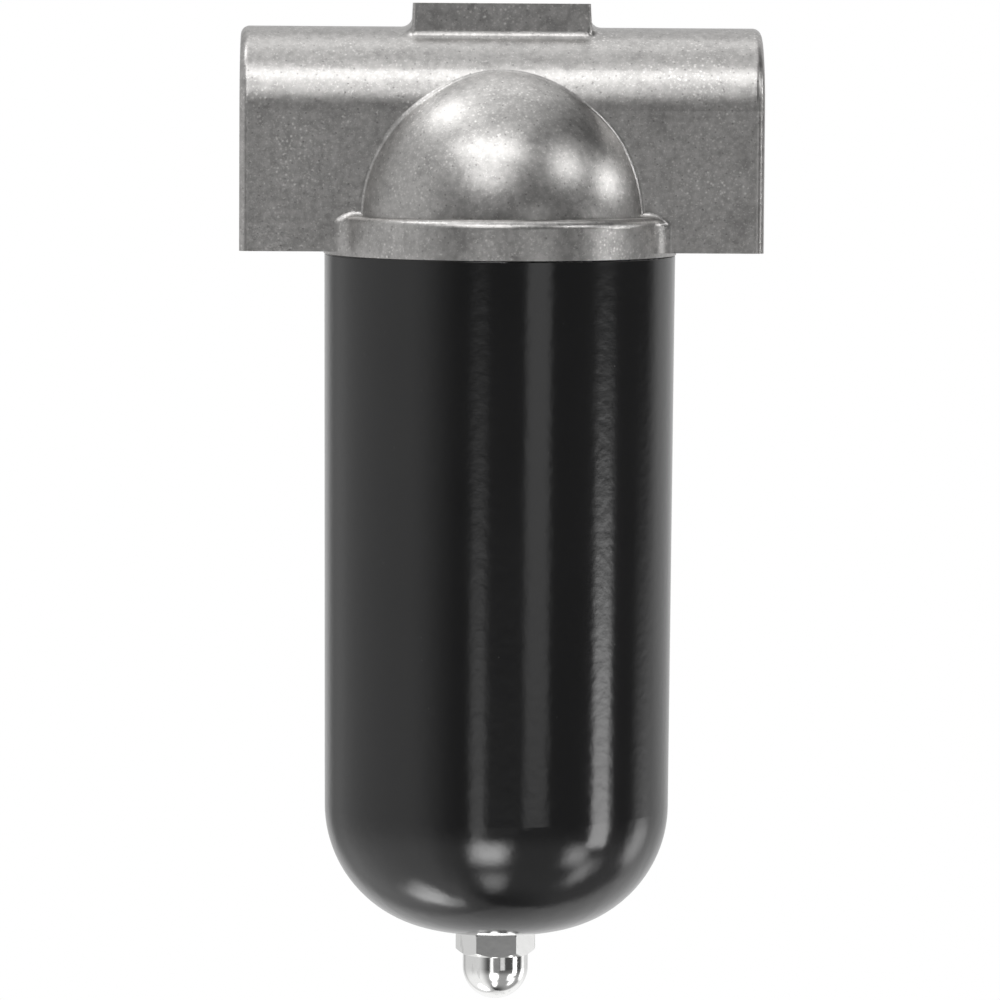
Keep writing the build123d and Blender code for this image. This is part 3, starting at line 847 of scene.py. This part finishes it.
class AIRFILTER_OT_stage(bpy.types.Operator):
    """Sets up the camera, the studio's lights and the floor"""

    bl_idname = "airfilter.stage"
    bl_label = "Stage"

    def execute(self, context):
        stage = context.scene.air_filter_stage
        context.scene.view_settings.view_transform = "Standard"
        self.place_camera(context.scene, stage)
        self.light_studio(context.scene)
        self.lay_floor(stage)
        return {"FINISHED"}

    def place_camera(self, scene, stage):
        """Aims the camera just above the filter's middle, a little to the right of its axis."""
        lens = bpy.data.cameras.new("camera")
        lens.lens = lens.sensor_width * stage.distance / stage.view_height
        camera = bpy.data.objects.new("camera", lens)
        scene.collection.objects.link(camera)
        turn, rise = stage.azimuth, stage.elevation
        back = Vector((math.sin(turn) * math.cos(rise), -math.cos(turn) * math.cos(rise), math.sin(rise)))
        aim = Vector((AIM_X, 0, (cad_low.z + cad_high.z) / 2 + AIM_Z))
        camera.rotation_mode = "QUATERNION"
        camera.location = aim + back * stage.distance
        camera.rotation_quaternion = (-back).to_track_quat("-Z", "Y") @ Quaternion((0, 0, 1), stage.roll)
        scene.camera = camera

    def light_studio(self, scene):
        """Paints the studio's lights on the world by direction, and shows the camera a white backdrop."""
        world = bpy.data.worlds.new("studio")
        scene.world = world
        world.use_nodes = True
        shader = Shader(world.node_tree)
        x, y, z = shader.axes(shader.node("ShaderNodeTexCoord", output="Generated"))
        azimuth = x.maths("ARCTAN2", -y) * math.degrees(1)
        elevation = z.maths("ARCSINE") * math.degrees(1)
        light = 0
        for _, level, (turn, half_width), (rise, half_height), softness in LIGHTS:
            across = abs((azimuth - turn).maths("WRAP", 180, -180))
            beside = shader.smooth(across, half_width + softness, half_width - softness)
            above = shader.smooth(abs(elevation - rise), half_height + softness, half_height - softness)
            light = light + beside * above * level
        studio = shader.node("ShaderNodeBackground", {}, {"Color": light})
        backdrop = shader.node("ShaderNodeBackground", {}, {"Color": (1, 1, 1, 1)})
        seen = shader.node("ShaderNodeLightPath")
        shown = shader.node("ShaderNodeMixShader", {}, {0: seen, 1: studio, 2: backdrop})
        shader.node("ShaderNodeOutputWorld", {}, {"Surface": shown})

    def lay_floor(self, stage):
        """Lays a pale disc of floor below the filter's reach."""
        bm = bmesh.new()
        bmesh.ops.create_circle(bm, cap_ends=True, segments=128, radius=FLOOR_R)
        bmesh.ops.translate(bm, verts=bm.verts, vec=(0, 0, cad_low.z - stage.floor_gap))
        mesh = bpy.data.meshes.new("floor")
        bm.to_mesh(mesh)
        bm.free()
        mesh.materials.append(floor_paint())
        floor = bpy.data.objects.new("floor", mesh)
        bpy.context.scene.collection.objects.link(floor)
        floor.visible_glossy = False
        floor.visible_shadow = False


class AIRFILTER_PT_panel(bpy.types.Panel):
    """Lists the filter's settings and what makes each group of its parts"""

    bl_idname = "AIRFILTER_PT_panel"
    bl_label = "Compressed Air Filter"
    bl_space_type = "VIEW_3D"
    bl_region_type = "UI"
    bl_category = "Air Filter"

    def draw(self, context):
        for name in SETTINGS:
            settings = getattr(context.scene, name)
            box = self.layout.box()
            for field in settings.bl_rna.properties:
                if not field.is_readonly and field.identifier != "name":
                    box.prop(settings, field.identifier)
        for maker in OPERATORS:
            self.layout.operator(maker.bl_idname)


SETTINGS = {
    "air_filter_finish": AirFilterFinish,
    "air_filter_sizes": AirFilterSizes,
    "air_filter_stage": AirFilterStage,
}
OPERATORS = (
    AIRFILTER_OT_casting,
    AIRFILTER_OT_tie_rod,
    AIRFILTER_OT_bowl,
    AIRFILTER_OT_cartridge,
    AIRFILTER_OT_spring,
    AIRFILTER_OT_inner_parts,
    AIRFILTER_OT_stage,
)


def register():
    for group in (*SETTINGS.values(), *OPERATORS, AIRFILTER_PT_panel):
        bpy.utils.register_class(group)
    for name, group in SETTINGS.items():
        setattr(bpy.types.Scene, name, bpy.props.PointerProperty(type=group))


def unregister():
    for name in SETTINGS:
        delattr(bpy.types.Scene, name)
    for group in (AIRFILTER_PT_panel, *reversed(OPERATORS), *SETTINGS.values()):
        bpy.utils.unregister_class(group)


def main():
    """Makes every group of parts and the stage."""
    register()
    bpy.ops.airfilter.casting()
    bpy.ops.airfilter.tie_rod()
    bpy.ops.airfilter.bowl()
    bpy.ops.airfilter.cartridge()
    bpy.ops.airfilter.spring()
    bpy.ops.airfilter.inner_parts()
    bpy.ops.airfilter.stage()


if __name__ == "__main__":
    main()
